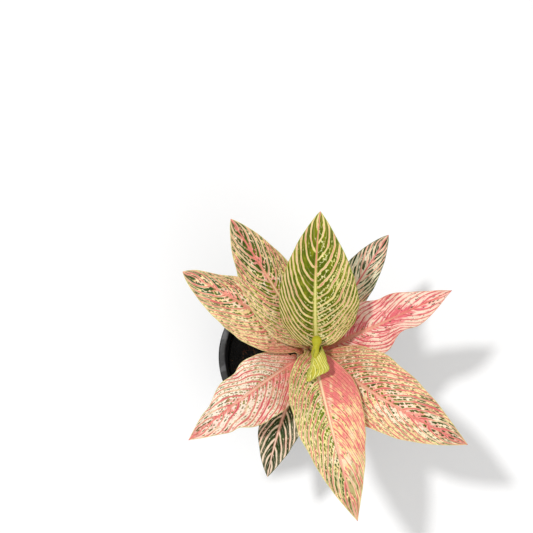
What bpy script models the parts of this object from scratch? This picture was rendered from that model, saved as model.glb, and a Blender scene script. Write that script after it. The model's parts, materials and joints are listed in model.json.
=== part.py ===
# A Chinese evergreen in its round nursery pot, seen mostly from above.
# Metres, +Z up. The origin is the centre of the pot's underside. +Y is the back of the plant
# and +X its right. Nine open leaves and one young rolled leaf stand round a short leaning cane.
import math

import bmesh
import bpy
from mathutils import Matrix, Vector, noise

# Pot
POT_HEIGHT = 0.110
RIM_RADIUS = 0.060
BASE_RADIUS = 0.043
NECK_RADIUS = 0.056  # outside of the wall where it meets the rim
POT_WALL = 0.0015
RIM_SKIRT = 0.011
RIM_GAP = 0.0024  # open groove between the rim's skirt and the wall
STEP_HEIGHT = 0.084  # a small outward step near the top, where stacked pots catch
STEP_OUT = 0.0009
FOOT_WIDTH = 0.0042
FLOOR_LIFT = 0.0030  # how far the drained floor stands clear of the ground
PAD_RADIUS = 0.011
DRAIN_HOLES = 8
DRAIN_RADIUS = 0.0045
DRAIN_RING = 0.027
POT_STEPS = 48

# Soil
SOIL_TOP = 0.094
SOIL_CROWN = 0.0025  # rise of the surface towards the middle
SOIL_BUMP = 0.0016
SOIL_RINGS = 9
SOIL_STEPS = 36

# Gap kept between pieces that touch
SEAT = 0.0003

# Cane that carries the leaves
CANE_FOOT = Vector((0.0060, -0.0020, 0.060))
CANE_TOP = Vector((0.0137, -0.0055, 0.172))
CANE_FOOT_RADIUS = 0.0065
CANE_TOP_RADIUS = 0.0047
RING_BELOW_NODE = 0.004
RING_DROP = 0.0016
RING_BULGE = 0.0004
CANE_STEPS = 18

# Leaves
BLADE_THICK = 0.0008
BLADE_ROWS = 19
BLADE_COLUMNS = 6
ROW_EASING = 1.35  # above 1 the rows stand closer together near the base
SPINE_STEPS = 160
PITCH_EASING = 1.2
FOLD_EASING = 0.35  # share of the fold that is lost between base and tip
WAVE_REACH = 1.6  # how fast the waves fade from the margin inwards
WAVE_SHIFT = 0.35  # share of a wave by which the two margins differ
PETIOLE_RADIUS = 0.0023
PETIOLE_TOP_RADIUS = 0.0016
PETIOLE_STEPS = 45
PETIOLE_KEPT = (0, 12, 22, 30, 36, 40, 42, 44, 45)  # closer where the stalk bends into the blade
PETIOLE_STAND_OFF = 0.0018
# The stalk's foot runs down into the cane: drop below the node, reach from the cane's side, radius
CLASP = ((0.013, -0.0013, 0.0009), (0.008, 0.0002, 0.0015), (0.004, 0.0012, 0.0020))
CURL_SPREAD = 0.11  # share of the blade's length
CURL_DROP = 1.2  # drop of a curled margin for each unit that it draws in
RIB_REACH = 0.55  # share of the blade that the rib below it runs along
RIB_POINTS = 6
RIB_SINK = 0.55  # depth of the rib's centre below the blade, in rib radii

# Every leaf: height of its node on the cane, compass heading of the blade and how far the
# foot of the stalk stands round the cane from it, stalk length and pitch, blade size, pitch
# at the blade's two ends, turn along it, roll, fold of the halves, camber of each half,
# fullness of the outline at base and tip, extra width of the right half, margin waves, and
# where along the right margin a stretch of it curls down and draws in.
LEAVES = {
    "leaf_back": dict(
        node=0.164, heading=97, foot=-16, stalk=0.061, rise=94, length=0.107, width=0.055,
        lift=56, tip=28, turn=-13, roll=4, fold=14, camber=0.15, full=0.50, taper=0.93, skew=0.10,
    ),
    "leaf_back_left": dict(
        node=0.156, heading=125, foot=-2, stalk=0.057, rise=92, length=0.108, width=0.042,
        lift=44, tip=4, turn=-2, fold=14, camber=0.12, taper=0.86, skew=-0.06,
    ),
    "leaf_left": dict(
        node=0.147, heading=143, foot=17, stalk=0.060, rise=89, length=0.100, width=0.041,
        lift=34, tip=-6, turn=12, taper=0.82, skew=-0.10,
    ),
    "leaf_front_left": dict(
        node=0.139, heading=216, foot=-10, stalk=0.060, rise=84, length=0.096, width=0.0450,
        lift=36, tip=-10, turn=3, roll=5, full=0.48, taper=1.06, skew=-0.11, wave=0.0018, waves=3.5,
    ),
    "leaf_front_low": dict(
        node=0.128, heading=245, foot=4, stalk=0.052, rise=83, length=0.077, width=0.034,
        lift=16, tip=-30, turn=15, taper=1.02, bend=6,
    ),
    "leaf_front": dict(
        node=0.160, heading=279, foot=-6, stalk=0.061, rise=94, length=0.120, width=0.050,
        lift=40, tip=-12, turn=8, roll=10, taper=1.04,
    ),
    "leaf_front_right": dict(
        node=0.151, heading=317.5, foot=15.5, stalk=0.060, rise=90, length=0.119, width=0.051,
        lift=36, tip=-12, turn=19, roll=-5, taper=1.04, skew=-0.06,
    ),
    "leaf_right": dict(
        node=0.143, heading=21, foot=-7, stalk=0.060, rise=86, length=0.097, width=0.042,
        lift=34, tip=-6, turn=5, roll=-3, taper=1.10, wave=0.0030, waves=3.5, curl=0.34, curl_at=0.54,
    ),
    "leaf_back_low": dict(
        node=0.133, heading=57, foot=-9, stalk=0.053, rise=80, length=0.0865, width=0.034,
        lift=18, tip=-25, roll=-2, taper=0.90, skew=-0.12, bend=6,
    ),
}
USUAL_LEAF = dict(
    roll=0, turn=0, fold=14, camber=0.10, full=0.55, taper=1.0,
    skew=0.0, wave=0.0, waves=3, curl=0.0, curl_at=0.5, bend=12,
)

# Young leaf: its stalk stands on the cane's end, its blade is still rolled lengthwise, and
# arches over and opens towards the front
YOUNG_STALK = (
    (0.0140, -0.0053, 0.1723),
    (0.0156, -0.0053, 0.190),
    (0.0160, -0.0052, 0.206),
    (0.0155, -0.0052, 0.222),
    (0.0150, -0.0054, 0.226),
)
# Point of the midrib, then radius and turn (in radians) of the left half and of the right half
YOUNG_BLADE = (
    (0.0144, -0.0064, 0.2215, 0.0015, 2.7, 0.0015, 2.7),
    (0.0133, -0.0073, 0.2290, 0.0027, 3.1, 0.0027, 2.9),
    (0.0127, -0.0074, 0.2355, 0.0031, 3.3, 0.0031, 2.8),
    (0.0120, -0.0073, 0.2410, 0.0031, 3.1, 0.0031, 2.5),
    (0.0114, -0.0096, 0.2444, 0.0031, 2.6, 0.0040, 1.9),
    (0.0109, -0.0139, 0.2456, 0.0036, 1.9, 0.0080, 1.12),
    (0.0102, -0.0187, 0.2458, 0.0042, 1.3, 0.0140, 0.74),
    (0.0089, -0.0237, 0.2446, 0.0056, 0.7, 0.0150, 0.38),
    (0.0071, -0.0284, 0.2424, 0.0060, 0.05, 0.0150, 0.02),
)
YOUNG_TUCK = 0.11  # how fast the left half's roll tightens, so that it lies inside the right
YOUNG_LEAN = Vector((0.45, 0.60, 0.80))
YOUNG_STALK_RADIUS = 0.0014
YOUNG_ROWS = 28
YOUNG_COLUMNS = 10

COLOURS = {
    "black_plastic": ((0.018, 0.018, 0.019), 0.45),
    "dark_soil": ((0.020, 0.014, 0.010), 0.95),
    "cane": ((0.35, 0.36, 0.16), 0.55),
    "green_leaf": ((0.30, 0.42, 0.10), 0.38),
    "cream_pink_leaf": ((0.82, 0.52, 0.36), 0.38),
    "rose_leaf": ((0.80, 0.27, 0.25), 0.38),
    "dark_leaf": ((0.10, 0.15, 0.07), 0.38),
    "lime_leaf": ((0.55, 0.60, 0.08), 0.35),
}
LEAF_FINISH = {
    "leaf_back": "green_leaf",
    "leaf_right": "rose_leaf",
    "leaf_front_low": "dark_leaf",
    "leaf_back_low": "dark_leaf",
}


def clear_scene():
    for old in list(bpy.data.objects):
        bpy.data.objects.remove(old, do_unlink=True)


def new_collection(name):
    group = bpy.data.collections.new(name)
    bpy.context.scene.collection.children.link(group)
    return group


def material(name):
    found = bpy.data.materials.get(name)
    if found:
        return found
    colour, roughness = COLOURS[name]
    made = bpy.data.materials.new(name)
    made.use_nodes = True
    shader = made.node_tree.nodes["Principled BSDF"]
    shader.inputs["Base Color"].default_value = (*colour, 1.0)
    shader.inputs["Roughness"].default_value = roughness
    shader.inputs["Metallic"].default_value = 0.0
    made.diffuse_color = (*colour, 1.0)
    return made


def add_object(name, data, group):
    thing = bpy.data.objects.new(name, data)
    group.objects.link(thing)
    return thing


def mesh_from(bm, name):
    mesh = bpy.data.meshes.new(name)
    bm.to_mesh(mesh)
    bm.free()
    return mesh


def bake(thing):
    """Replace an object's mesh by what its modifiers make of it."""
    bpy.context.view_layer.update()
    graph = bpy.context.evaluated_depsgraph_get()
    mesh = bpy.data.meshes.new_from_object(thing.evaluated_get(graph), depsgraph=graph)
    thing.modifiers.clear()
    thing.data = mesh
    return thing


def boolean(thing, other, operation):
    step = thing.modifiers.new(operation.title(), "BOOLEAN")
    step.operation = operation
    step.object = other
    step.solver = "EXACT"
    return bake(thing)


def turned(name, profile, steps, group):
    """A turned body from a profile that starts and ends on the axis, outer side downwards."""
    mesh = bpy.data.meshes.new(name)
    bm = bmesh.new()
    points = [bm.verts.new((radius, 0.0, height)) for radius, height in profile]
    for upper, lower in zip(points, points[1:]):
        bm.edges.new((upper, lower))
    bm.to_mesh(mesh)
    bm.free()
    thing = add_object(name, mesh, group)
    screw = thing.modifiers.new("Screw", "SCREW")
    screw.axis = "Z"
    screw.angle = math.tau
    screw.steps = steps
    screw.render_steps = steps
    screw.use_merge_vertices = True
    screw.merge_threshold = 0.00001
    return bake(thing)


def cutter_cylinder(name, radius, low, high, group, steps=16):
    bm = bmesh.new()
    bmesh.ops.create_cone(
        bm, cap_ends=True, cap_tris=False, segments=steps,
        radius1=radius, radius2=radius, depth=high - low,
    )
    bmesh.ops.translate(bm, vec=(0.0, 0.0, (low + high) / 2), verts=bm.verts)
    cutter = add_object(name, mesh_from(bm, name), group)
    cutter.hide_render = True
    cutter.display_type = "WIRE"
    return cutter


def finish(thing, finish_name, smooth=True):
    thing.data.materials.clear()
    thing.data.materials.append(material(finish_name))
    if smooth:
        thing.data.shade_smooth()
        thing.data.set_sharp_from_angle(angle=math.radians(35))


# Pot

def wall_radius(height):
    """Outside radius of the pot's wall at a height."""
    radius = BASE_RADIUS + (NECK_RADIUS - STEP_OUT - BASE_RADIUS) * height / POT_HEIGHT
    return radius + (STEP_OUT if height > STEP_HEIGHT else 0.0)


def pot_profile():
    floor = FLOOR_LIFT + POT_WALL
    skirt_bottom = POT_HEIGHT - RIM_SKIRT
    lip_bottom = POT_HEIGHT - POT_WALL
    skirt_inside = wall_radius(lip_bottom) + RIM_GAP
    foot_inside = BASE_RADIUS - FOOT_WIDTH
    return [
        (0.0, POT_WALL),
        (PAD_RADIUS, POT_WALL),
        (PAD_RADIUS + 0.002, floor),
        (wall_radius(floor) - POT_WALL, floor),
        (wall_radius(STEP_HEIGHT) - POT_WALL, STEP_HEIGHT),
        (wall_radius(STEP_HEIGHT + 0.002) - POT_WALL, STEP_HEIGHT + 0.002),
        (wall_radius(POT_HEIGHT) - POT_WALL, POT_HEIGHT - 0.0006),
        (wall_radius(POT_HEIGHT) - POT_WALL + 0.0006, POT_HEIGHT),
        (RIM_RADIUS - 0.0008, POT_HEIGHT),
        (RIM_RADIUS, POT_HEIGHT - 0.0008),
        (RIM_RADIUS - 0.0004, skirt_bottom),
        (skirt_inside, skirt_bottom),
        (skirt_inside, lip_bottom),
        (wall_radius(lip_bottom), lip_bottom),
        (wall_radius(STEP_HEIGHT + 0.001), STEP_HEIGHT + 0.001),
        (wall_radius(STEP_HEIGHT), STEP_HEIGHT - 0.001),
        (BASE_RADIUS + 0.0002, 0.001),
        (BASE_RADIUS - 0.0008, 0.0),
        (foot_inside, 0.0),
        (foot_inside - 0.001, FLOOR_LIFT),
        (PAD_RADIUS + 0.001, FLOOR_LIFT),
        (PAD_RADIUS, 0.0),
        (0.0, 0.0),
    ]


def make_pot(group, cutters):
    pot = turned("pot", pot_profile(), POT_STEPS, group)
    for i in range(DRAIN_HOLES):
        angle = math.tau * i / DRAIN_HOLES
        hole = cutter_cylinder("drain_cutter_%d" % i, DRAIN_RADIUS, -0.002, 0.008, cutters)
        hole.location = (DRAIN_RING * math.cos(angle), DRAIN_RING * math.sin(angle), 0.0)
        boolean(pot, hole, "DIFFERENCE")
    finish(pot, "black_plastic")
    return pot


# Cane and soil

def cane_radius(height, extra=0.0):
    share = (height - CANE_FOOT.z) / (CANE_TOP.z - CANE_FOOT.z)
    return CANE_FOOT_RADIUS + (CANE_TOP_RADIUS - CANE_FOOT_RADIUS) * share + extra


def cane_centre(height):
    share = (height - CANE_FOOT.z) / (CANE_TOP.z - CANE_FOOT.z)
    return CANE_FOOT.lerp(CANE_TOP, share)


def lean(thing):
    """Shear an upright turned cane so that its axis runs from CANE_FOOT to CANE_TOP."""
    for vert in thing.data.vertices:
        centre = cane_centre(vert.co.z)
        vert.co.x += centre.x
        vert.co.y += centre.y


def cane_profile(extra):
    """The cane's side from its end down, with a low ring at each leaf's node."""
    top = CANE_TOP.z + extra
    foot = CANE_FOOT.z - extra
    end = cane_radius(CANE_TOP.z, extra)
    profile = [(0.0, top), (end * 0.7, top - 0.0003), (end, top - 0.0018)]
    nodes = sorted((leaf["node"] - RING_BELOW_NODE for leaf in LEAVES.values()), reverse=True)
    for height in nodes:
        profile.append((cane_radius(height, extra + RING_BULGE), height))
        below = height - RING_DROP
        profile.append((cane_radius(below, extra), below))
    profile.append((cane_radius(SOIL_TOP - 0.004, extra), SOIL_TOP - 0.004))
    profile.append((cane_radius(CANE_FOOT.z + 0.003, extra), CANE_FOOT.z + 0.003))
    profile.append((cane_radius(CANE_FOOT.z, extra) * 0.6, foot))
    profile.append((0.0, foot))
    return profile


def make_cane(name, extra, group):
    cane = turned(name, cane_profile(extra), CANE_STEPS, group)
    lean(cane)
    return cane


def make_soil(group, cane_cutter):
    floor = FLOOR_LIFT + POT_WALL + SEAT
    under = wall_radius(floor) - POT_WALL - SEAT
    shelf = wall_radius(STEP_HEIGHT) - POT_WALL - SEAT
    edge = wall_radius(SOIL_TOP) - POT_WALL - SEAT
    profile = [(edge * ring / SOIL_RINGS, SOIL_TOP) for ring in range(SOIL_RINGS + 1)]
    profile += [(shelf + STEP_OUT, STEP_HEIGHT + 0.0025), (shelf, STEP_HEIGHT), (under, floor), (0.0, floor)]
    soil = turned("soil", profile, SOIL_STEPS, group)
    for vert in soil.data.vertices:
        if vert.co.z > SOIL_TOP - 0.001:
            reach = math.hypot(vert.co.x, vert.co.y) / edge
            clump = noise.noise(vert.co * 90.0) + 0.5 * noise.noise(vert.co * 210.0)
            crown = SOIL_CROWN * (1.0 - reach * reach)
            fade = min(1.0, (1.0 - reach) * 5.0)
            vert.co.z += crown + SOIL_BUMP * clump * fade
    boolean(soil, cane_cutter, "DIFFERENCE")
    finish(soil, "dark_soil")
    return soil


# Leaves

def direction(heading, pitch):
    level = math.cos(pitch)
    return Vector((level * math.cos(heading), level * math.sin(heading), math.sin(pitch)))


def blade_angles(leaf, along):
    """Heading and pitch, in radians, at a share of the blade's length."""
    heading = leaf["heading"] + leaf["turn"] * along
    pitch = leaf["lift"] + (leaf["tip"] - leaf["lift"]) * along ** PITCH_EASING
    return math.radians(heading), math.radians(pitch)


def stalk_points(leaf):
    """Centre line of the leaf stalk, from inside the cane to the blade's base."""
    foot_heading = math.radians(leaf["heading"] + leaf["foot"])
    heading = math.radians(leaf["heading"])
    rise = math.radians(leaf["rise"])
    lift = math.radians(leaf["lift"])
    out = Vector((math.cos(foot_heading), math.sin(foot_heading), 0.0))
    node = leaf["node"]
    clasp = [cane_centre(node - drop) + out * (cane_radius(node) + reach) for drop, reach, _ in CLASP]
    point = cane_centre(node) + out * (cane_radius(node) + SEAT + PETIOLE_STAND_OFF)
    line = [point.copy()]
    for i in range(PETIOLE_STEPS):
        share = (i + 0.5) / PETIOLE_STEPS
        turn = foot_heading + (heading - foot_heading) * share
        pitch = rise + (lift - rise) * share ** leaf["bend"]
        point = point + direction(turn, pitch) * (leaf["stalk"] / PETIOLE_STEPS)
        line.append(point.copy())
    return clasp + [line[i] for i in PETIOLE_KEPT]


def blade_spine(leaf):
    """Points of the blade's midrib at equal steps."""
    point = stalk_points(leaf)[-1]
    line = [point.copy()]
    for i in range(SPINE_STEPS):
        heading, pitch = blade_angles(leaf, (i + 0.5) / SPINE_STEPS)
        point = point + direction(heading, pitch) * (leaf["length"] / SPINE_STEPS)
        line.append(point.copy())
    return line


def on_spine(spine, along):
    place = min(max(along, 0.0), 1.0) * SPINE_STEPS
    lower = min(int(place), SPINE_STEPS - 1)
    return spine[lower].lerp(spine[lower + 1], place - lower)


def blade_frame(leaf, along):
    """The blade's right-hand side and upper side at a share of its length."""
    heading, pitch = blade_angles(leaf, along)
    side = Vector((math.sin(heading), -math.cos(heading), 0.0))
    up = side.cross(direction(heading, pitch))
    turn = Matrix.Rotation(-math.radians(leaf["roll"]), 3, direction(heading, pitch))
    return turn @ side, turn @ up


def half_width(leaf, along):
    """Half the blade's width: rounded at the base, drawn out to a point at the tip."""
    full, taper = leaf["full"], leaf["taper"]
    widest = (full / (full + taper)) ** full * (taper / (full + taper)) ** taper
    return 0.5 * leaf["width"] * along ** full * (1.0 - along) ** taper / widest


def blade_point(leaf, spine, along, across):
    """A point of the blade: along is 0 to 1 from base to tip, across is -1 to 1."""
    side, up = blade_frame(leaf, along)
    hand = 1.0 if across > 0 else -1.0
    curl = 0.0
    if hand > 0:
        curl = leaf["curl"] * math.exp(-((along - leaf["curl_at"]) / CURL_SPREAD) ** 2)
    half = half_width(leaf, along) * (1.0 + leaf["skew"] * hand) * (1.0 - curl)
    fold = math.radians(leaf["fold"]) * (1.0 - FOLD_EASING * along)
    out = across * half * math.cos(fold)
    rise = half * (abs(across) * math.sin(fold) - leaf["camber"] * across * across)
    swell = math.sqrt(max(math.sin(math.pi * along), 0.0))
    phase = math.tau * (leaf["waves"] * along + (WAVE_SHIFT if hand > 0 else 0.0))
    rise += leaf["wave"] * swell * abs(across) ** WAVE_REACH * math.sin(phase)
    rise -= half * curl * CURL_DROP * across * across
    return on_spine(spine, along) + side * out + up * rise


def sheet_from_grid(name, rows, columns, place, thickness, group):
    """A closed thin body: a grid whose points are placed by a rule, then given thickness."""
    bm = bmesh.new()
    bmesh.ops.create_grid(bm, x_segments=columns, y_segments=rows, size=1.0)
    for vert in bm.verts:
        vert.co = place((vert.co.y + 1.0) / 2.0, vert.co.x)
    bmesh.ops.remove_doubles(bm, verts=bm.verts, dist=0.00002)
    bmesh.ops.triangulate(bm, faces=bm.faces, quad_method="FIXED")
    thing = add_object(name, mesh_from(bm, name), group)
    solid = thing.modifiers.new("Solidify", "SOLIDIFY")
    solid.thickness = thickness
    solid.offset = 0.0
    return bake(thing)


def tube(name, line, radii, group, sides=2):
    """A closed tube through points, with a radius at each."""
    curve = bpy.data.curves.new(name, "CURVE")
    curve.dimensions = "3D"
    curve.bevel_depth = 1.0
    curve.bevel_resolution = sides
    curve.use_fill_caps = True
    spline = curve.splines.new("POLY")
    spline.points.add(len(line) - 1)
    for point, centre, radius in zip(spline.points, line, radii):
        point.co = (*centre, 1.0)
        point.radius = radius
    holder = add_object(name + "_line", curve, group)
    bpy.context.view_layer.update()
    graph = bpy.context.evaluated_depsgraph_get()
    mesh = bpy.data.meshes.new_from_object(holder.evaluated_get(graph), depsgraph=graph)
    bpy.data.objects.remove(holder, do_unlink=True)
    bm = bmesh.new()
    bm.from_mesh(mesh)
    bmesh.ops.remove_doubles(bm, verts=bm.verts, dist=0.00001)
    bmesh.ops.recalc_face_normals(bm, faces=bm.faces)
    bm.to_mesh(mesh)
    bm.free()
    return add_object(name, mesh, group)


def stalk_and_rib(leaf, spine):
    """Centre line and radii of the stalk, carried on as a rib below the blade."""
    line = stalk_points(leaf)
    radii = [radius for _, _, radius in CLASP]
    above = len(line) - len(CLASP)
    for i in range(above):
        radii.append(PETIOLE_RADIUS + (PETIOLE_TOP_RADIUS - PETIOLE_RADIUS) * i / (above - 1))
    for i in range(1, RIB_POINTS + 1):
        share = i / RIB_POINTS
        along = RIB_REACH * share
        radius = PETIOLE_TOP_RADIUS * (1.0 - share) + 0.25 * BLADE_THICK * share
        up = blade_frame(leaf, along)[1]
        line.append(on_spine(spine, along) - up * radius * RIB_SINK)
        radii.append(radius)
    return line, radii


def make_leaf(name, group, cane_cutter):
    leaf = dict(USUAL_LEAF, **LEAVES[name])
    spine = blade_spine(leaf)

    def place(row, column):
        return blade_point(leaf, spine, row ** ROW_EASING, column)

    blade = sheet_from_grid(name, BLADE_ROWS, BLADE_COLUMNS, place, BLADE_THICK, group)
    line, radii = stalk_and_rib(leaf, spine)
    stalk = tube(name + "_stalk", line, radii, group)
    boolean(blade, stalk, "UNION")
    bpy.data.objects.remove(stalk, do_unlink=True)
    boolean(blade, cane_cutter, "DIFFERENCE")
    finish(blade, LEAF_FINISH.get(name, "cream_pink_leaf"))
    return blade


# Young leaf

def smooth_line(points, steps):
    """Catmull-Rom curve through points, with steps stretches between neighbours."""
    points = [Vector(p) for p in points]
    ends = [points[0] * 2 - points[1]] + points + [points[-1] * 2 - points[-2]]
    line = []
    for before, start, stop, after in zip(ends, ends[1:], ends[2:], ends[3:]):
        for i in range(steps):
            t = i / steps
            line.append(
                0.5 * (
                    2 * start + (stop - before) * t
                    + (2 * before - 5 * start + 4 * stop - after) * t ** 2
                    + (3 * start - before - 3 * stop + after) * t ** 3
                )
            )
    line.append(points[-1])
    return line


def make_new_leaf(group):
    stations = smooth_line(YOUNG_BLADE, 14)
    last = len(stations) - 1

    def place(row, column):
        index = int(round(row * last))
        x, y, z, left_radius, left_turn, right_radius, right_turn = stations[index]
        ahead = stations[min(index + 1, last)] - stations[max(index - 1, 0)]
        ahead = Vector(ahead[:3]).normalized()
        side = ahead.cross(YOUNG_LEAN).normalized()
        up = side.cross(ahead)
        if column > 0:
            angle = left_turn * column
            radius = left_radius
            reach = radius * (1.0 - YOUNG_TUCK * angle)
        else:
            angle = right_turn * column
            radius = right_radius
            reach = radius
        out = side * reach * math.sin(angle)
        return Vector((x, y, z)) + out + up * (radius - reach * math.cos(angle))

    leaf = sheet_from_grid("new_leaf", YOUNG_ROWS, YOUNG_COLUMNS, place, BLADE_THICK, group)
    line = smooth_line(YOUNG_STALK, 2)
    stalk = tube("new_leaf_stalk", line, [YOUNG_STALK_RADIUS] * len(line), group)
    boolean(leaf, stalk, "UNION")
    bpy.data.objects.remove(stalk, do_unlink=True)
    finish(leaf, "lime_leaf")
    return leaf


def main():
    clear_scene()
    plant = new_collection("potted_chinese_evergreen")
    cutters = new_collection("cutters")
    make_pot(plant, cutters)
    cane = make_cane("stem", 0.0, plant)
    finish(cane, "cane")
    cane_cutter = make_cane("stem_cutter", SEAT, cutters)
    cane_cutter.hide_render = True
    cane_cutter.display_type = "WIRE"
    make_soil(plant, cane_cutter)
    for name in LEAVES:
        make_leaf(name, plant, cane_cutter)
    make_new_leaf(plant)


main()
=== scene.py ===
# Potted Chinese evergreen: patterned leaves on upright stalks round a short cane, in a nursery pot.
import json
import math
import random

import bmesh
import bpy
from mathutils import Matrix, Vector, noise


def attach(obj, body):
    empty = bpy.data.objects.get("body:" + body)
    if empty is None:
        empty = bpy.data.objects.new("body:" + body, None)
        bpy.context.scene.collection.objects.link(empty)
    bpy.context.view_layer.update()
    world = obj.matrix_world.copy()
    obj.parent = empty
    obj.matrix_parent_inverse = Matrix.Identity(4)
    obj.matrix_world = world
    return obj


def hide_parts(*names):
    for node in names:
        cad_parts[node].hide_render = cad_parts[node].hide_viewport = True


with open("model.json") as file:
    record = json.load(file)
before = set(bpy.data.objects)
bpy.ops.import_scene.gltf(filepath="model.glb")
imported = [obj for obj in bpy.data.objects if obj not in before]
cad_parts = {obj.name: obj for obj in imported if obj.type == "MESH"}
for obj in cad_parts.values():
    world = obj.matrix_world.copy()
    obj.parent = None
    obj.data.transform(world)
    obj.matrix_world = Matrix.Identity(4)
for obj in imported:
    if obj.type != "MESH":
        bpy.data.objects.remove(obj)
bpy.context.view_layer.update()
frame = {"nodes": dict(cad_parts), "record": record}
print("frame loaded:", len(frame["nodes"]), "nodes")


# Small helpers; lengths are in metres unless a name or note says mm

class settings(dict):  # a dictionary whose values are also read as settings.name
    __getattr__ = dict.__getitem__


def tone(code):  # a screen colour's code, such as ff8000, as a linear colour
    def channel(value):
        return value / 12.92 if value <= 0.04045 else ((value + 0.055) / 1.055) ** 2.4
    return (*(channel(int(code[i:i + 2], 16) / 255) for i in (0, 2, 4)), 1.0)


def smoothStep(value, low, high):
    share = min(max((value - low) / (high - low), 0.0), 1.0)
    return share * share * (3.0 - 2.0 * share)


def hump(value, middle, reach):  # a bell curve, 1 in the middle
    return math.exp(-((value - middle) / reach) ** 2)


# Materials are made one at a time, and the canvas holds the node tree of the present one

canvas = {}


def newMaterial(name):  # gives the place on the object too
    material = bpy.data.materials.new(name)
    material.use_nodes = True
    canvas["tree"] = material.node_tree
    return material, addNode("TexCoord", {}, "Object")


class shadeValue:  # what a node gives out; sums with it are nodes too
    def __init__(self, output):
        self.output = output

    def __add__(self, other):
        return maths("ADD", self, other)

    def __sub__(self, other):
        return maths("SUBTRACT", self, other)

    def __rsub__(self, other):
        return maths("SUBTRACT", other, self)

    def __mul__(self, other):
        return maths("MULTIPLY", self, other)

    def __truediv__(self, other):
        return maths("DIVIDE", self, other)


def feed(node, values):  # each value is what another node gives, a colour code or a plain number
    for key, value in values.items():
        if isinstance(value, shadeValue):
            canvas["tree"].links.new(value.output, node.inputs[key])
        else:
            node.inputs[key].default_value = tone(value) if isinstance(value, str) else value


def addNode(kind, values, output=0, **choices):
    node = canvas["tree"].nodes.new("ShaderNode" + kind)
    for name, choice in choices.items():
        setattr(node, name, choice)
    feed(node, values)
    return shadeValue(node.outputs[output])


def maths(operation, *values):
    return addNode("Math", dict(enumerate(values)), operation=operation)


def ease(value, low, high, start=0.0, stop=1.0):
    values = dict(enumerate((value, low, high, start, stop)))
    return addNode("MapRange", values, interpolation_type="SMOOTHSTEP")


def spread(noise, start, stop):  # noise lies mostly between these two
    return ease(noise, 0.3, 0.7, start, stop)


def blend(share, first, second, kind="MIX"):
    return addNode("Mix", {0: share, 6: first, 7: second}, 2, data_type="RGBA", blend_type=kind)


def grain(vector, scale, detail=2.0, roughness=0.5):
    values = {"Vector": vector, "Scale": scale, "Detail": detail, "Roughness": roughness}
    return addNode("TexNoise", values, "Fac")


def pattern(name):  # the three numbers that a piece carries at each point
    return split(addNode("Attribute", {}, "Vector", attribute_name=name))


def split(vector):
    return [shadeValue(part) for part in addNode("SeparateXYZ", {0: vector}).output.node.outputs]


def join(*parts):
    return addNode("CombineXYZ", dict(enumerate(parts)))


def scaled(vector, *scales):  # each coordinate times its own scale
    return join(*(part * scale for part, scale in zip(split(vector), scales)))


def shaded(colour, share):
    return blend(1.0, colour, join(share, share, share), "MULTIPLY")


def finishSurface(material, colour, roughness, shine, height, strength, distance):
    bump = addNode("Bump", {"Height": height, "Strength": strength, "Distance": distance})
    feed(material.node_tree.nodes["Principled BSDF"], {
        "Base Color": colour, "Roughness": roughness, "Specular IOR Level": shine, "Normal": bump,
    })
    return material


def slotOf(node):
    return next(row["material_slot"] for row in frame["record"]["subparts"] if row["node"] == node)


def objectFrom(bm, name, materials=()):
    mesh = bpy.data.meshes.new(name)
    bm.to_mesh(mesh)
    bm.free()
    for material in materials:
        mesh.materials.append(material)
    made = bpy.data.objects.new(name, mesh)
    bpy.context.scene.collection.objects.link(made)
    return made


def pieceFrom(bm, name, materials, nodes, slot):
    piece = objectFrom(bm, name, materials)
    piece.data.shade_smooth()
    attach(piece, "root")
    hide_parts(*nodes)
    return piece


def finishWith(piece):  # what the modifiers make of the piece becomes its mesh
    bpy.context.view_layer.update()
    graph = bpy.context.evaluated_depsgraph_get()
    mesh = bpy.data.meshes.new_from_object(piece.evaluated_get(graph), depsgraph=graph)
    piece.modifiers.clear()
    piece.data = mesh


def sheet(columns, rows, place, merge=1e-6):  # a grid put in place by a rule that also gives its patterns
    bm = bmesh.new()
    bm.loops.layers.uv.new("leafMap")
    bmesh.ops.create_grid(bm, x_segments=columns, y_segments=rows, size=1.0, calc_uvs=True)
    layers = [bm.verts.layers.float_vector.new(name) for name in ("veins", "zones", "edges")]
    for vert in bm.verts:
        vert.co, *patterns = place((vert.co.y + 1.0) / 2.0, vert.co.x)
        for layer, values in zip(layers, patterns):
            vert[layer] = values
    bmesh.ops.remove_doubles(bm, verts=bm.verts, dist=merge)
    return bm


def closedTube(sides, rings, place, merge=2e-6):
    bm = sheet(sides, rings, place, merge)
    bmesh.ops.holes_fill(bm, edges=[edge for edge in bm.edges if edge.is_boundary], sides=0)
    bmesh.ops.recalc_face_normals(bm, faces=bm.faces)
    return bm


# Cane, stalks and blades follow the same rules as the solids

cane = settings(
    foot=Vector((0.0060, -0.0020, 0.060)),
    top=Vector((0.0137, -0.0055, 0.172)),
    footRadius=0.0065,
    topRadius=0.0047,
    ringBulge=0.0005,
    ringReach=0.0008,
    ringDrop=0.004,  # from a leaf's node down to its ring
    knots=0.03,  # share of the radius
    step=0.0008,
    sides=40,
)


def caneShare(height):
    return (height - cane.foot.z) / (cane.top.z - cane.foot.z)


def caneRadius(height):
    return cane.footRadius + (cane.topRadius - cane.footRadius) * caneShare(height)


def caneCentre(height):
    return cane.foot.lerp(cane.top, caneShare(height))


# Lobes are given as side, place along the blade, reach and size
usualLeaf = settings(
    roll=0, turn=0, fold=14, camber=0.10, full=0.55, taper=1.0,
    skew=0.0, wave=0.0, waves=3, curl=0.0, curlAt=0.5, lobes=(), bend=12,
    wing=0.0052, wingLength=0.013, channel=26, ripple=0.05,
)

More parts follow.
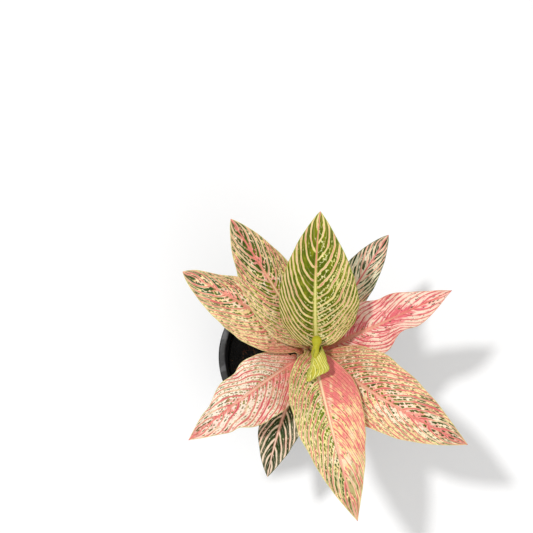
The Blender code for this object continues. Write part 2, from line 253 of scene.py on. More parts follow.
leafShapes = {
    "leaf_back": dict(
        node=0.164, heading=97, foot=-16, stalk=0.061, rise=94, length=0.107, width=0.055, lift=56, tip=28,
        turn=-13, roll=4, camber=0.15, full=0.50, taper=0.93, skew=0.10,
    ),
    "leaf_back_left": dict(
        node=0.156, heading=125, foot=-2, stalk=0.057, rise=92, length=0.108, width=0.042, lift=44, tip=4,
        turn=-2, camber=0.12, taper=0.86, skew=-0.06,
    ),
    "leaf_left": dict(
        node=0.147, heading=143, foot=17, stalk=0.060, rise=89, length=0.100, width=0.041, lift=34, tip=-6,
        turn=12, taper=0.82, skew=-0.10, wing=0.0066, lobes=((1.0, 0.80, 0.12, -0.22),),
    ),
    "leaf_front_left": dict(
        node=0.139, heading=216, foot=-10, stalk=0.060, rise=84, length=0.096, width=0.045, lift=36,
        tip=-10, turn=3, roll=5, full=0.48, taper=1.06, skew=-0.11, wave=0.0022, waves=3.5, wing=0.0072,
        lobes=(
            (1.0, 0.33, 0.06, 0.06), (1.0, 0.45, 0.05, -0.07), (1.0, 0.58, 0.06, 0.08),
            (1.0, 0.74, 0.06, -0.13), (-1.0, 0.52, 0.08, 0.06), (-1.0, 0.66, 0.05, -0.10),
        ),
    ),
    "leaf_front_low": dict(
        node=0.128, heading=245, foot=4, stalk=0.052, rise=83, length=0.077, width=0.034, lift=16, tip=-30,
        turn=15, taper=1.02, bend=6,
    ),
    "leaf_front": dict(
        node=0.160, heading=279, foot=-6, stalk=0.061, rise=94, length=0.120, width=0.050, lift=40,
        tip=-12, turn=8, roll=10, full=0.52, taper=1.04, wing=0.0082, lobes=((1.0, 0.0, 0.09, 0.26),),
    ),
    "leaf_front_right": dict(
        node=0.151, heading=317.5, foot=15.5, stalk=0.060, rise=90, length=0.119, width=0.051, lift=36,
        tip=-12, turn=19, roll=-5, taper=1.04, skew=-0.06,
    ),
    "leaf_right": dict(
        node=0.143, heading=21, foot=-7, stalk=0.060, rise=86, length=0.097, width=0.042, lift=34, tip=-6,
        turn=5, roll=-3, full=0.50, taper=1.10, wave=0.0036, waves=3.5, curl=0.36, curlAt=0.54,
        lobes=((-1.0, 0.20, 0.12, 0.16), (-1.0, 0.47, 0.07, -0.13)),
    ),
    "leaf_back_low": dict(
        node=0.133, heading=57, foot=-9, stalk=0.053, rise=80, length=0.088, width=0.029, lift=18,
        tip=-25, roll=-2, taper=0.90, skew=-0.12, bend=6,
    ),
}

stalkSteps, spineSteps = 45, 160


def direction(heading, pitch):
    level = math.cos(pitch)
    return Vector((level * math.cos(heading), level * math.sin(heading), math.sin(pitch)))


def sideOf(heading):
    return Vector((math.sin(heading), -math.cos(heading), 0.0))


def bladeAngles(leaf, along):
    heading = leaf.heading + leaf.turn * along
    pitch = leaf.lift + (leaf.tip - leaf.lift) * along ** 1.2
    return math.radians(heading), math.radians(pitch)


def bladeFrame(leaf, along):
    heading, pitch = bladeAngles(leaf, along)
    ahead, side = direction(heading, pitch), sideOf(heading)
    turn = Matrix.Rotation(-math.radians(leaf.roll), 3, ahead)
    return turn @ side, turn @ side.cross(ahead)


def stalkLine(leaf):  # from the node up to the blade's base
    footHeading = math.radians(leaf.heading + leaf.foot)
    heading = math.radians(leaf.heading)
    rise, lift = math.radians(leaf.rise), math.radians(leaf.lift)
    clear = caneRadius(leaf.node) + 0.0021
    line = [caneCentre(leaf.node) + direction(footHeading, 0.0) * clear]
    for i in range(stalkSteps):
        share = (i + 0.5) / stalkSteps
        turn = footHeading + (heading - footHeading) * share
        pitch = rise + (lift - rise) * share ** leaf.bend
        line.append(line[-1] + direction(turn, pitch) * (leaf.stalk / stalkSteps))
    return line


def bladeSpine(leaf):
    line = [stalkLine(leaf)[-1]]
    for i in range(spineSteps):
        ahead = direction(*bladeAngles(leaf, (i + 0.5) / spineSteps))
        line.append(line[-1] + ahead * (leaf.length / spineSteps))
    return line


def onLine(line, share):
    place = min(max(share, 0.0), 1.0) * (len(line) - 1)
    lower = min(int(place), len(line) - 2)
    return line[lower].lerp(line[lower + 1], place - lower)


def halfWidth(leaf, along):
    full, taper = leaf.full, leaf.taper
    widest = (full / (full + taper)) ** full * (taper / (full + taper)) ** taper
    return 0.5 * leaf.width * along ** full * (1.0 - along) ** taper / widest


def lobesAt(leaf, along, hand):
    return sum(size * hump(along, at, reach) for side, at, reach, size in leaf.lobes if side == hand)


def bladeRow(leaf, spine, stalk, along):  # a cross-line of the blade, or of its wings where along is below 0
    past, wingLength = along * leaf.length, leaf.wingLength
    if along < 0:
        share = 1.0 + past / leaf.stalk
        ahead = (onLine(stalk, share + 0.02) - onLine(stalk, share - 0.02)).normalized()
        side = sideOf(math.radians(leaf.heading + leaf.foot * (1.0 - share)))
        roll = Matrix.Rotation(-math.radians(leaf.roll) * (1.0 + past / wingLength), 3, ahead)
        centre, side, up = onLine(stalk, share), roll @ side, roll @ side.cross(ahead)
        half, wing = 0.0, leaf.wing * (1.0 - 0.75 * smoothStep(-past, 0.0, wingLength))
    else:
        centre = onLine(spine, along)
        side, up = bladeFrame(leaf, along)
        half, wing = halfWidth(leaf, along), leaf.wing * hump(past, 0.0, 0.008)
    channel = leaf.channel * (1.0 - smoothStep(past, -0.004, 0.014))
    seat = 0.0017 * (1.0 - smoothStep(past, -0.003, 0.006))
    seat -= 0.0024 * smoothStep(-past, 0.6 * wingLength, wingLength)
    return settings(
        along=along, centre=centre + up * seat, side=side, up=up, half=math.hypot(half, wing),
        fold=math.radians(leaf.fold * (1.0 - 0.35 * max(along, 0.0)) + channel),
        swell=math.sqrt(max(math.sin(math.pi * max(along, 0.0)), 0.0)),
        curl=leaf.curl * hump(along, leaf.curlAt, 0.11),
        lobes={hand: lobesAt(leaf, along, hand) for hand in (-1.0, 1.0)},
    )


def bladePoint(leaf, row, across, lifted=0.0):
    hand = 1.0 if across > 0 else -1.0
    curl = row.curl if hand > 0 else 0.0
    half = row.half * (1.0 + leaf.skew * hand) * (1.0 - curl)
    ripple = leaf.ripple * noise.noise(Vector((row.along * 9.0, hand * 3.0, leaf.heading)))
    half *= (1.0 + ripple * row.swell) * (1.0 + row.lobes[hand])
    out = across * half * math.cos(row.fold)
    height = half * (abs(across) * math.sin(row.fold) - leaf.camber * across * across)
    phase = math.tau * (leaf.waves * row.along + (0.35 if hand > 0 else 0.0))
    height += leaf.wave * row.swell * abs(across) ** 1.6 * math.sin(phase)
    height -= half * curl * 1.2 * across * across
    return row.centre + row.side * out + row.up * (height + lifted)


# Paint of the leaves. Green and pink say how much of it the left and the right half have,
# each at its base, middle and tip.

usualPaint = settings(
    cream="f4e6a2", ivory="fef4d4", blush="ee928a",
    fleckPale="888638", fleckDeep="425424", halo="fceebe",
    vein="d66a62", veinPale="e2927c",
    rib="f0daa0", ribTip="e27670", ribSide="e89680",
    margin="e2d692", under="c4b084", dull="aaa480", shade="b06846",
    stalk="e4ac92",
    shadeReach=0.16,
    green=((0.35, 0.35, 0.5), (0.35, 0.35, 0.5)),
    pink=((0.2, 0.2, 0.3), (0.2, 0.2, 0.3)),
    ribPink=0.2,
    ivoryShare=0.3,
    deep=(0.38, 0.85),  # how dark the flecks are at the base and the tip
    speckle=(0.12, 0.12),  # how ragged they are, left and right
    tipStreak=0.8,
    edgeGreen=0.0,
    fleckRows=2.0,  # rows of flecks between two main veins
    fleckLength=1.8,  # mm
    dash=4.0,  # mm, length of the cream dashes in the pink
    veinGap=7.0,  # mm between main veins at the midrib
    arch=1.0,  # how steeply the veins rise
    straight=0.36,  # how much of that begins at the midrib
    hook=1.0,  # how late the rest sets in
    veinWidth=0.42,  # mm, half of it
    veinStrength=0.95,
    haloStrength=0.75,
    threadStrength=0.6,
    ribWidth=1.0,  # mm
    seed=0.0,
)

leafPaints = {
    "leaf_back": dict(
        cream="e8e28c", ivory="f4eeb0", blush="eed68c", fleckPale="828812", fleckDeep="526200",
        halo="f0e492", vein="dc8a82", veinPale="e8b896", rib="e8e28e", ribTip="e49280", ribSide="baba54",
        margin="aab254", under="969e56", stalk="e2d496", green=((0.80, 1.0, 0.95), (0.58, 0.70, 0.9)),
        pink=((0.0, 0.0, 0.0), (0.0, 0.0, 0.0)), ribPink=0.0, deep=(0.6, 0.6), speckle=(0.12, 0.36),
        tipStreak=0.3, edgeGreen=0.12, veinGap=9.4, arch=1.05, straight=0.24, hook=1.7, veinWidth=0.32,
        veinStrength=1.0, haloStrength=1.0, threadStrength=0.25, ribWidth=1.1, shadeReach=0.0, seed=1.0,
    ),
    "leaf_back_left": dict(
        cream="eedc8c", fleckPale="747c18", fleckDeep="3e5214", vein="d67c68", veinPale="e4a284",
        stalk="e2be96", green=((0.50, 0.54, 0.60), (0.52, 0.58, 0.62)),
        pink=((0.15, 0.2, 0.22), (0.15, 0.2, 0.22)), ribPink=0.45, ivoryShare=0.2, tipStreak=0.45,
        veinGap=8.4, straight=0.28, hook=1.4, veinWidth=0.36, seed=2.0,
    ),
    "leaf_left": dict(
        cream="f6e6a0", fleckPale="7c862c", fleckDeep="385426", vein="d05c5a", veinPale="e0826e",
        rib="e2a082", ribTip="e49682", stalk="c47054", green=((0.36, 0.38, 0.66), (0.36, 0.40, 0.58)),
        pink=((0.50, 0.20, 0.08), (0.45, 0.36, 0.10)), ribPink=0.28, ivoryShare=0.22, tipStreak=0.35,
        fleckLength=2.4, veinGap=8.2, straight=0.28, hook=1.4, veinWidth=0.36, shadeReach=0.34, seed=3.0,
    ),
    "leaf_front_left": dict(
        cream="f6eaac", ivory="fef4e0", fleckPale="96924e", fleckDeep="54602c", vein="ce505e",
        veinPale="de807c", rib="f0c4aa", shade="e67472", stalk="d87068",
        green=((0.36, 0.32, 0.30), (0.44, 0.36, 0.38)), pink=((0.85, 0.26, 0.34), (0.34, 0.14, 0.28)),
        ribPink=0.26, ivoryShare=0.75, tipStreak=0.1, fleckRows=3.0, fleckLength=1.4, veinGap=9.8,
        veinWidth=0.44, shadeReach=0.18, seed=4.0,
    ),
    "leaf_front_low": dict(
        cream="e2d6b4", ivory="f0e4c8", fleckPale="3e5222", fleckDeep="263a14", halo="d6c4a2",
        vein="f2ccb6", veinPale="fae4cc", rib="eebeac", ribTip="f8dec8", ribSide="d69682", margin="546230",
        under="787654", stalk="d69682", green=((0.86, 0.92, 1.0), (0.80, 0.88, 1.0)),
        pink=((0.1, 0.0, 0.0), (0.1, 0.0, 0.0)), ribPink=0.15, deep=(0.6, 0.7), speckle=(0.15, 0.25),
        veinGap=9.0, veinStrength=1.0, threadStrength=0.3, seed=5.0,
    ),
    "leaf_front": dict(
        cream="f6ea9c", blush="ea7a7a", fleckPale="7a8c24", fleckDeep="405c22", vein="d66462",
        rib="f6dab2", ribTip="f0a896", margin="e0d888", stalk="e4c498",
        green=((-0.1, 0.08, 0.20), (0.60, 0.50, 0.38)), pink=((0.86, 0.46, 0.28), (0.12, 0.12, 0.2)),
        ribPink=0.0, ivoryShare=0.15, speckle=(0.06, 0.18), tipStreak=0.5, fleckRows=2.4, veinGap=8.6,
        veinWidth=0.36, ribWidth=1.1, shadeReach=0.08, seed=6.0,
    ),
    "leaf_front_right": dict(
        cream="f6e6a0", fleckPale="787624", fleckDeep="3c4a18", vein="d45e5c", veinPale="de806e",
        rib="eab294", shade="c47854", stalk="de8c74", green=((0.52, 0.42, 0.44), (0.22, 0.34, 0.40)),
        pink=((0.38, 0.34, 0.10), (0.58, 0.22, 0.08)), ribPink=0.34, tipStreak=0.15, fleckLength=2.2,
        veinGap=9.0, shadeReach=0.22, seed=7.0,
    ),
    "leaf_right": dict(
        cream="fce2be", ivory="fff0d6", blush="ea6e78", fleckPale="8c7846", fleckDeep="4c3e24",
        halo="f8ccb8", vein="d0505c", veinPale="e27a74", rib="eca892", ribTip="de6e68", margin="e6a682",
        stalk="de8274", green=((0.06, 0.06, 0.20), (0.18, 0.10, 0.20)),
        pink=((0.74, 0.36, 0.06), (0.50, 0.36, 0.08)), ribPink=0.34, ivoryShare=0.6, tipStreak=0.0,
        dash=6.0, veinGap=8.6, veinWidth=0.40, seed=8.0,
    ),
    "leaf_back_low": dict(
        cream="fff8c4", ivory="ffffdc", fleckPale="40640c", fleckDeep="1a3a04", halo="fffcd2",
        vein="fab89c", veinPale="fff4d4", rib="ec807a", ribSide="faccb8", margin="606838", under="827c5c",
        shade="ceb86c", stalk="e2bea4", green=((0.54, 0.52, 0.58), (0.56, 0.52, 0.60)),
        pink=((0.1, 0.1, 0.1), (0.1, 0.1, 0.1)), ivoryShare=0.6, deep=(0.6, 0.9), edgeGreen=0.22,
        fleckRows=1.6, fleckLength=6.0, veinGap=7.6, veinWidth=0.44, haloStrength=0.95, shadeReach=0.5,
        seed=9.0,
    ),
}

leafGrain = settings(  # noise scales, per metre
    sway=55.0, tremble=380.0, veinWidth=160.0, ragged=1150.0, dots=620.0,
    mottle=900.0, cloud=28.0, gloss=300.0, skin=1600.0, underSkin=1400.0,
)

bladeDetail = settings(
    puff=0.00020,  # between the side veins
    groove=0.00042, grooveReach=0.0011,  # along the midrib
    ridge=0.00020, ridgeAt=0.0026, ridgeReach=0.0012,  # on both sides of it
    swell=0.0010, swellScale=38.0,
    frill=0.0006, frillScale=120.0,  # at the margin
    columns=64, rows=160, thickness=0.00045,
)


def stretch(values, along):  # a value given at the base, the middle and the tip
    base, middle, tip = values
    if along < 0.5:
        return base + (middle - base) * smoothStep(along, 0.0, 0.5)
    return middle + (tip - middle) * smoothStep(along, 0.5, 1.0)


def veinNumber(paint, along, lengthMm, across, halfMm):  # whole numbers lie on main veins
    far = abs(across)
    started = (1.7 * along - 0.7 * along * abs(along)) * lengthMm / paint.veinGap
    bowed = paint.straight + (1.0 - paint.straight) * far ** paint.hook
    aside = far * halfMm * bowed * (1.0 - 0.9 * along) * 2.6 / paint.veinGap
    drawn = 0.3 * far ** 1.5 * (1.0 - 0.6 * smoothStep(along, 0.5, 1.0))
    return started * (1.0 - drawn) - paint.arch * aside + (0.5 if across > 0 else 0.0)


def veinSpacing(paint, along, lengthMm, across, halfMm):  # mm from vein to vein
    here = veinNumber(paint, along, lengthMm, across, halfMm)
    step = math.copysign(0.02, across)
    aside = (veinNumber(paint, along, lengthMm, across + step, halfMm) - here) / (0.02 * max(halfMm, 1.0))
    ahead = (veinNumber(paint, along + 0.01, lengthMm, across, halfMm) - here) / (0.01 * lengthMm)
    return 1.0 / max(math.hypot(aside, ahead), 0.05)


def patternsAt(paint, along, length, across, half, hand, passed, moreGreen=0.0, morePink=0.0):
    lengthMm, halfMm = length * 1000, half * 1000
    reachMm = abs(across) * halfMm
    number = veinNumber(paint, along, lengthMm, across, halfMm)
    green = stretch(paint.green[hand], along) + moreGreen
    pink = stretch(paint.pink[hand], along) + morePink
    spacing = veinSpacing(paint, along, lengthMm, across, halfMm)
    run = reachMm + 0.6 * passed * 1000
    edges = Vector((halfMm - reachMm, along, across))
    return Vector((number, run, reachMm)), Vector((green, pink, spacing)), edges


def leafSurface(name, paint):
    material, place = newMaterial(name)
    number, run, fromRib = pattern("veins")
    green, pink, spacing = pattern("zones")
    fromMargin, along, across = pattern("edges")
    seed = paint.seed * 7.3

    def local(kind, detail=2.0):
        return grain(place, leafGrain[kind], detail)

    def field(perGap, length, shift, detail=1.0):  # noise drawn out along the veins
        return grain(join(number * perGap, run * (1.0 / length), seed + shift), 1.0, detail, 0.6)

    def rows(perGap, length, shift):  # like it, but in separate rows, each with a middle
        lane = number * perGap
        cells = join(maths("FLOOR", lane) * 3.7 + shift, run * (1.0 / length), seed)
        return maths("PINGPONG", lane, 0.5) * 0.5 + grain(cells, 1.0, 1.0)

    # side veins run in gentle irregular arcs, closer together at the margin
    number += local("sway") - 0.5
    number += (local("tremble", 1.0) - 0.5) * 0.12
    room = ease(spacing, 0.8, 3.2, 0.40, 1.0)
    width = (local("veinWidth", 1.0) - 0.5) * 0.8 + paint.veinWidth
    off = maths("PINGPONG", number, 0.5) * spacing - width * room  # mm from the nearest vein
    line = ease(off, -0.16, 0.18, 1.0, 0.0)
    blotches = field(0.5, 10.0, 1.0, detail=2.0)
    fade = field(0.9, 14.0, 2.0)

    # ground of cream, ivory and pink
    ivory = paint.ivoryShare + 0.6 - blotches - across * across * 0.3
    colour = blend(ease(ivory, 0.22, 0.46), paint.cream, paint.ivory)
    blush = pink + (blotches - 0.5) + (rows(4.0, paint.dash, 0.3) * 1.3 - 0.81)
    blush = maths("MAXIMUM", ease(blush, 0.38, 0.62), pink * 0.55)
    colour = blend(blush, colour, paint.blush)

    # green flecks in rows between the veins, specks and dots among them, dark streaks at the tip
    left, right = paint.speckle
    speckle = ease(across, -0.01, 0.01) * (right - left) + left
    flecks = green * 0.52 + rows(paint.fleckRows, paint.fleckLength, 11.0)
    flecks += speckle * ((local("ragged", 1.0) - 0.5) * 2.0)
    flecks += ease(fromMargin, 0.6, 4.5, 1.0, 0.0) * paint.edgeGreen
    deep = ease(along, 0.4, 0.95, *paint.deep) + (field(1.2, 5.0, 4.0) - 0.5) * 1.6
    fleckTone = blend(ease(deep, 0.20, 0.75), paint.fleckPale, paint.fleckDeep)
    specks = ease(green * 0.30 + rows(4.0, 1.1, 23.0), 0.86, 0.93, 0.0, 0.40)
    colour = blend(specks * (1.0 - blush), colour, paint.fleckPale)
    colour = blend(ease(flecks, 0.865, 0.915), colour, fleckTone)
    dots = ease(green * 0.24 + local("dots", 1.0), 0.70, 0.77) * ease(spacing, 1.6, 4.2, 0.9, 0.1)
    colour = blend(dots * (blush * -0.6 + 1.0), colour, fleckTone)
    streaks = ease(rows(1.0, 8.0, 31.0), 0.64, 0.69, 0.0, paint.tipStreak)
    colour = blend(streaks * ease(along, 0.60, 0.80), colour, paint.fleckDeep)

    # fine threads, pale flanks of the veins, veins
    threads = ease(maths("COSINE", number * (2 * math.tau)), 0.72, 0.96)
    threads *= ease(fade, 0.42, 0.60, 0.1 * paint.threadStrength, paint.threadStrength)
    colour = blend(threads, colour, paint.veinPale)
    redness = blotches + pink * 0.35
    halo = ease(off / room, 0.05, 0.60, paint.haloStrength, 0.0)
    haloTone = blend(ease(redness, 0.54, 0.72, 0.0, 0.8), paint.halo, paint.blush)
    colour = blend(halo, colour, haloTone)
    veinTone = blend(ease(redness, 0.44, 0.72), paint.veinPale, paint.vein)
    strength = ease(fade, 0.22, 0.42, 0.45 * paint.veinStrength, paint.veinStrength)
    strength *= ease(along, 0.88, 1.0, 1.0, 0.4)
    colour = blend(line * strength, colour, veinTone)

    # margin, midrib and the shaded foot of the blade
    colour = blend(ease(fromMargin, 0.20, 0.65, 0.85, 0.0), colour, paint.margin)
    ribHalf = ease(along, 0.0, 1.0) * (-0.66 * paint.ribWidth) + paint.ribWidth
    ribPlace = fromRib / ribHalf
    flank = ease(ribPlace, 1.1, 2.4, 0.75, 0.0) * ease(along, 0.80, 0.95, 1.0, 0.2)
    colour = blend(flank, colour, paint.ribSide)
    rib = ease(ribPlace, 0.65, 1.15, 1.0, 0.0)
    colour = blend(rib, colour, blend(ease(along, 0.45, 0.72), paint.rib, paint.ribTip))
    if paint.shadeReach > 0:
        shade = ease(along, 0.0, paint.shadeReach, 0.85, 0.0)
        colour = blend(shade, colour, blend(0.5, paint.shade, colour))
    mottle = spread(local("mottle"), 0.92, 1.05) * spread(local("cloud"), 0.93, 1.04)
    gloss = spread(local("gloss"), 0.40, 0.54)
    height = rib * -0.6 + (line * -0.5 + local("skin"))
    return finishSurface(material, shaded(colour, mottle), gloss, 0.14, height, 0.35, 0.00018)


def undersideSurface(name, paint):
    material, place = newMaterial(name)
    number, run, fromRib = pattern("veins")
    green, pink = pattern("zones")[:2]
    number += grain(place, leafGrain.sway) - 0.5
    line = ease(maths("COSINE", number * math.tau), 0.70, 0.97)
    cloud = grain(join(number, run * 0.3, paint.seed), 1.6, 2.0, 0.6)
    colour = blend(ease(green * 0.3 + cloud, 0.55, 0.85), paint.cream, paint.under)
    colour = blend(ease(pink, 0.2, 0.9, 0.0, 0.5), colour, paint.blush)
    colour = blend(line * 0.5, colour, paint.vein)
    colour = blend(ease(fromRib, 0.6, 2.2, 0.7, 0.0), colour, paint.stalk)
    colour = blend(0.5, colour, paint.dull, "MULTIPLY")
    height = line * 0.8 + grain(place, leafGrain.underSkin)
    return finishSurface(material, colour, spread(cloud, 0.48, 0.60), 0.3, height, 0.4, 0.0002)


def bladeFrom(bm, node, label, paint, thickness):  # a solid blade, its underside in its own paint
    surfaces = [leafSurface(label + "Top", paint), undersideSurface(label + "Under", paint)]
    piece = pieceFrom(bm, node + "_blade", surfaces, [node], slotOf(node))
    solid = piece.modifiers.new("Thickness", "SOLIDIFY")
    solid.thickness = thickness
    solid.offset = 0.0
    solid.material_offset = 1
    finishWith(piece)
    return surfaces[0]


def makeBlade(name, leaf, paint):
    spine, stalk, length = bladeSpine(leaf), stalkLine(leaf), leaf.length
    low = -leaf.wingLength / length
    seed = Vector((paint.seed * 3.7, paint.seed * 1.9, 0.0))
    rows = {}

    def place(share, column):
        if share not in rows:
            rows[share] = bladeRow(leaf, spine, stalk, low + (1.0 - low) * share ** 1.1)
        row = rows[share]
        along, half = row.along, row.half
        across = math.copysign(abs(column) ** 1.15, column)
        far = abs(across)
        reach = far * half
        flat = bladePoint(leaf, row, across)
        onBlade = smoothStep(along, 0.0, 0.12) * (1.0 - smoothStep(along, 0.98, 1.0))
        between = smoothStep(far, 0.02, 0.25) * (1.0 - smoothStep(far, 0.75, 1.0)) * onBlade
        number = veinNumber(paint, along, length * 1000, across, half * 1000)
        wave = math.cos(math.tau * (number + 0.35 * noise.noise(flat * 55.0 + seed)))
        lifted = -bladeDetail.puff * wave * between * math.sqrt(2 * half / leaf.width)
        groove = hump(reach, 0.0, bladeDetail.grooveReach) * (1.0 - 0.6 * along)
        ridge = hump(reach, bladeDetail.ridgeAt, bladeDetail.ridgeReach) * (1.0 - along)
        swell = noise.noise(flat * bladeDetail.swellScale + seed) * smoothStep(far, 0.1, 0.8)
        frill = noise.noise(flat * bladeDetail.frillScale + seed) * smoothStep(far, 0.6, 1.0)
        lifted += (bladeDetail.ridge * ridge - bladeDetail.groove * groove) * onBlade
        lifted += (bladeDetail.swell * swell + bladeDetail.frill * frill) * onBlade
        moreGreen = 0.14 * noise.noise(flat * 75.0 + seed * 2.0)
        morePink = 0.15 * noise.noise(flat * 50.0 - seed)
        morePink += paint.ribPink * hump(reach, 0.0, 0.0042) * smoothStep(along, 0.3, 0.6)
        hand = 1 if across > 0 else 0
        return (
            bladePoint(leaf, row, across, lifted),
            *patternsAt(paint, along, length, across, half, hand, along * length, moreGreen, morePink),
        )

    bm = sheet(bladeDetail.columns, bladeDetail.rows, place)
    bladeFrom(bm, name, name, paint, bladeDetail.thickness)


# Leaf stalks: grooved on the side towards the cane, with a clasping foot and a midrib as their end

stalkShape = settings(
    radius=0.0023, topRadius=0.0016, ribReach=0.93, ribSteps=40,
    groove=0.30, lip=0.16, footWidth=0.45, sides=18,
    clasp=(  # how far below the node, how far off the cane, radius
        (0.0130, -0.0014, 0.0008), (0.0105, -0.0006, 0.0012), (0.0080, 0.0002, 0.0015),
        (0.0060, 0.0008, 0.0018), (0.0040, 0.0012, 0.0020), (0.0020, 0.0018, 0.0022),
    ),
)

stalkPaint = settings(foot="d6c896", streak="ce7868", speck="787a3a")


def stalkSurface():
    material, place = newMaterial("leafStalk")
    around, along, seed = pattern("veins")
    top, pink = join(*pattern("zones")), pattern("edges")[0]
    colour = blend(ease(along, 0.05, 0.60), stalkPaint.foot, top)
    lines = join(around * 9.0, along * 2.5, seed)
    streaks = ease(grain(lines, 1.0, 2.0, 0.6), 0.50, 0.66, 0.0, 0.75)
    colour = blend(streaks * pink, colour, stalkPaint.streak)
    cells = join(around * 12.0, along * 22.0, seed)
    specks = ease(grain(cells, 1.0, 2.0, 0.6), 0.66, 0.70, 0.0, 0.6)
    colour = blend(specks, colour, stalkPaint.speck)
    gloss = spread(grain(place, 500.0), 0.38, 0.52)
    return finishSurface(material, colour, gloss, 0.35, grain(lines, 2.0), 0.3, 0.0002)


def makeStalk(name, leaf, paint, surface):
    spine, shape = bladeSpine(leaf), stalkShape
    footHeading = math.radians(leaf.heading + leaf.foot)
    heading = math.radians(leaf.heading)
    line, radii, sides = [], [], []

    def add(point, radius, side):
        line.append(point)
        radii.append(radius)
        sides.append(side)

    for drop, off, radius in shape.clasp:
        out = direction(footHeading, 0.0) * (caneRadius(leaf.node) + off)
        add(caneCentre(leaf.node - drop) + out, radius, sideOf(footHeading))
    for i, point in enumerate(stalkLine(leaf)):
        share = i / stalkSteps
        radius = shape.radius + (shape.topRadius - shape.radius) * share
        add(point, radius, sideOf(footHeading + (heading - footHeading) * share))
    stalkCount = len(line)
    for i in range(1, shape.ribSteps + 1):
        share = i / shape.ribSteps
        along = shape.ribReach * share
        side, up = bladeFrame(leaf, along)
        radius = shape.topRadius * (1.0 - share) ** 0.8 + 0.00022
        sink = (radius + 0.0004) * smoothStep(along * leaf.length, -0.002, 0.005)
        add(onLine(spine, along) - up * sink, radius, side)
    last, stalkTone = len(line) - 1, Vector(tone(paint.stalk)[:3])
    pink = stretch(paint.pink[0], 0.3) * 0.5 + 0.45

    def place(row, column):
        index = round(row * last)
        around = math.pi * (column + 1.0)
        side = sides[index]
        up = side.cross(line[min(index + 1, last)] - line[max(index - 1, 0)]).normalized()
        grow = index / (stalkCount - 1)
        angle = (around - math.pi / 2 + math.pi) % math.tau - math.pi  # 0 at the groove
        groove = shape.groove * hump(angle, 0.0, 0.42) * (1.0 - smoothStep(grow, 0.85, 1.0))
        lip = shape.lip * hump(abs(angle), 0.85, 0.22) * (1.0 - smoothStep(grow, 0.25, 0.75))
        radius = radii[index] * (1.0 - groove + lip)
        wide = 1.0 + shape.footWidth * (1.0 - smoothStep(grow, 0.08, 0.40))
        point = line[index] + side * radius * wide * math.cos(around) + up * radius * math.sin(around)
        return point, Vector((around, grow, paint.seed)), stalkTone, Vector((pink, 0.0, 0.0))

    bm = closedTube(shape.sides, last, place)
    pieceFrom(bm, name + "_stalk", [surface], [name], slotOf(name))


stalkFinish = stalkSurface()
for leafName, shape in leafShapes.items():
    leaf, paint = settings(usualLeaf, **shape), settings(usualPaint, **leafPaints[leafName])
    makeBlade(leafName, leaf, paint)
    makeStalk(leafName, leaf, paint, stalkFinish)
print("leaves made")


# Young leaf, rolled below and opening towards the front

youngLeaf = settings(
    stalk=(
        (0.0140, -0.0053, 0.1723), (0.0156, -0.0053, 0.190), (0.0160, -0.0052, 0.206),
        (0.0155, -0.0052, 0.222), (0.0150, -0.0054, 0.226),
    ),
    blade=(  # place, then radius and turn of the left half and of the right one
        (0.0144, -0.0064, 0.2215, 0.0015, 2.7, 0.0015, 2.7),
        (0.0135, -0.0071, 0.2290, 0.0022, 3.1, 0.0022, 2.9),
        (0.0131, -0.0072, 0.2355, 0.0024, 3.3, 0.0024, 2.8),
        (0.0127, -0.0074, 0.2410, 0.0024, 3.1, 0.0026, 2.5),
        (0.0121, -0.0096, 0.2444, 0.0026, 2.2, 0.0042, 1.9),
        (0.0113, -0.0139, 0.2456, 0.0028, 0.90, 0.0088, 1.08),
        (0.0104, -0.0187, 0.2458, 0.0040, 0.55, 0.0150, 0.77),
        (0.0089, -0.0237, 0.2446, 0.0062, 0.40, 0.0150, 0.36),
        (0.0068, -0.0284, 0.2424, 0.0060, 0.12, 0.0150, 0.08),
    ),
    lean=Vector((0.45, 0.60, 0.80)),
    tuck=0.11,
    thickness=0.0005,
    columns=56,
    merge=5e-6,
    stalkRadius=0.0014,
    stalkSides=16,
    roll=(
        (0.0114, -0.0136, 0.2438), (0.0122, -0.0092, 0.2448), (0.0130, -0.0052, 0.2452),
        (0.0134, -0.0012, 0.2448), (0.0136, 0.0022, 0.2434),
    ),
    rollRadius=0.0035,
    rollSides=40,
    steps=dict(blade=14, stalk=10, roll=12),  # between two of the points above
)

youngPaint = settings(
    usualPaint,
    cream="beb43a", ivory="c8be46", blush="b4ae2a", fleckPale="aaaa38", fleckDeep="808e2c", halo="d6ce68",
    vein="f6f0a8", veinPale="f8f2b0", rib="ded464", ribTip="e2de78", ribSide="c8c04c", margin="a8b03c",
    under="aaa634", stalk="c4be54", green=((0.0, 0.3, 0.42), (0.0, 0.22, 0.3)),
    pink=((0.9, 0.2, 0.0), (0.9, 0.25, 0.0)), ribPink=0.0, deep=(0.2, 0.6), tipStreak=0.0, veinGap=3.8,
    arch=0.8, veinWidth=0.20, veinStrength=1.0, threadStrength=0.3, ribWidth=0.5, shadeReach=0.0,
    seed=11.0,
)


def smoothLine(part):  # a curve through the points of a part of the young leaf
    points, steps = [Vector(point) for point in youngLeaf[part]], youngLeaf.steps[part]
    ends = [points[0] * 2 - points[1]] + points + [points[-1] * 2 - points[-2]]
    line = []
    for before, start, stop, after in zip(ends, ends[1:], ends[2:], ends[3:]):
        for t in (i / steps for i in range(steps)):
            bow = (2 * before - 5 * start + 4 * stop - after) * t ** 2
            bend = (3 * start - before - 3 * stop + after) * t ** 3
            line.append(0.5 * (2 * start + (stop - before) * t + bow + bend))
    return line + [points[-1]]


def lineFrame(line, index):
    ahead = line[min(index + 1, len(line) - 1)] - line[max(index - 1, 0)]
    ahead = Vector(ahead[:3]).normalized()
    side = ahead.cross(youngLeaf.lean).normalized()
    return side, side.cross(ahead)


